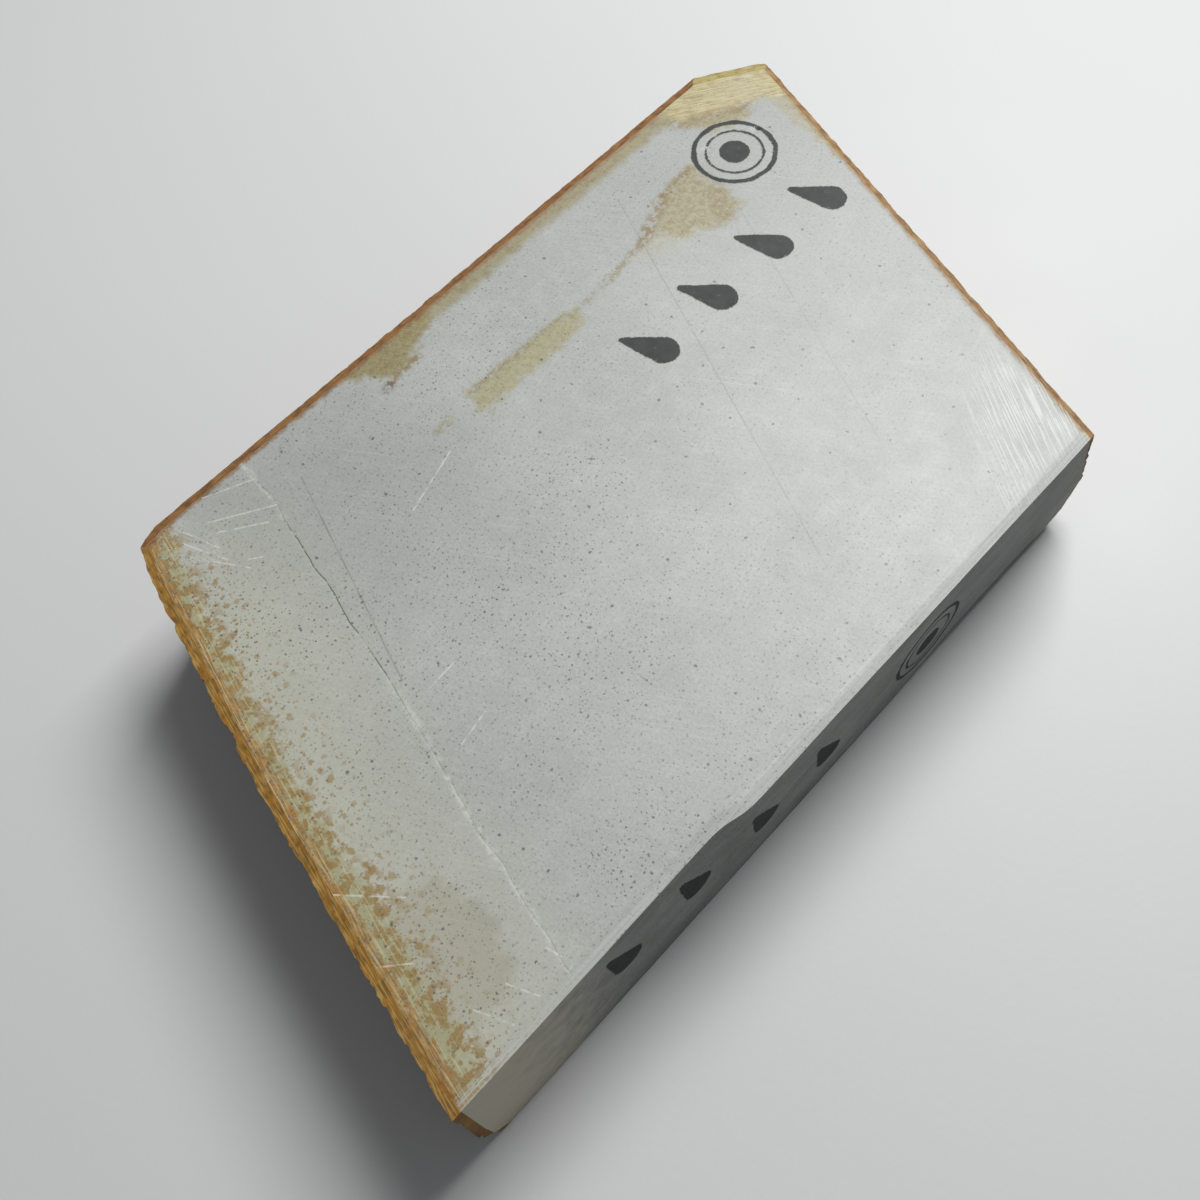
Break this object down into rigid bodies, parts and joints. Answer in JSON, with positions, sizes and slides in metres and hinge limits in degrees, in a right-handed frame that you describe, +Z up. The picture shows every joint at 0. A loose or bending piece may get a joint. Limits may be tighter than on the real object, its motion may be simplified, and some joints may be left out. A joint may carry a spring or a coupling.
{
  "type": "whetstone",
  "caption": "Natural sharpening stone: thick slab with a flat ground honing face, a sawn front, split ends and back with weathered rind, and plain ink marks.",
  "frame": {"origin": "middle of the stone's box, on the rest face", "axes": "+Z up out of the honing face, +X along the slab towards its pointed end, -Y out of the sawn front"},
  "size_m": [0.236, 0.1398, 0.0405],
  "materials": {
    "slate": "honed matte",
    "rind_brown": "rough weathered",
    "rind_ochre": "rough weathered",
    "rind_pale": "rough weathered",
    "rind_straw": "rough weathered",
    "ink": "matte ink soaked into stone"
  },
  "bodies": {
    "root": {"stone_block": "slate", "rind_back": "rind_brown", "rind_left_end": "rind_ochre", "rind_right_end": "rind_pale", "rind_pointed_corner": "rind_straw", "ink_ring_top": "ink", "ink_dabs_top": "ink", "ink_ring_front": "ink", "ink_dabs_front": "ink"}
  },
  "joints": []
}
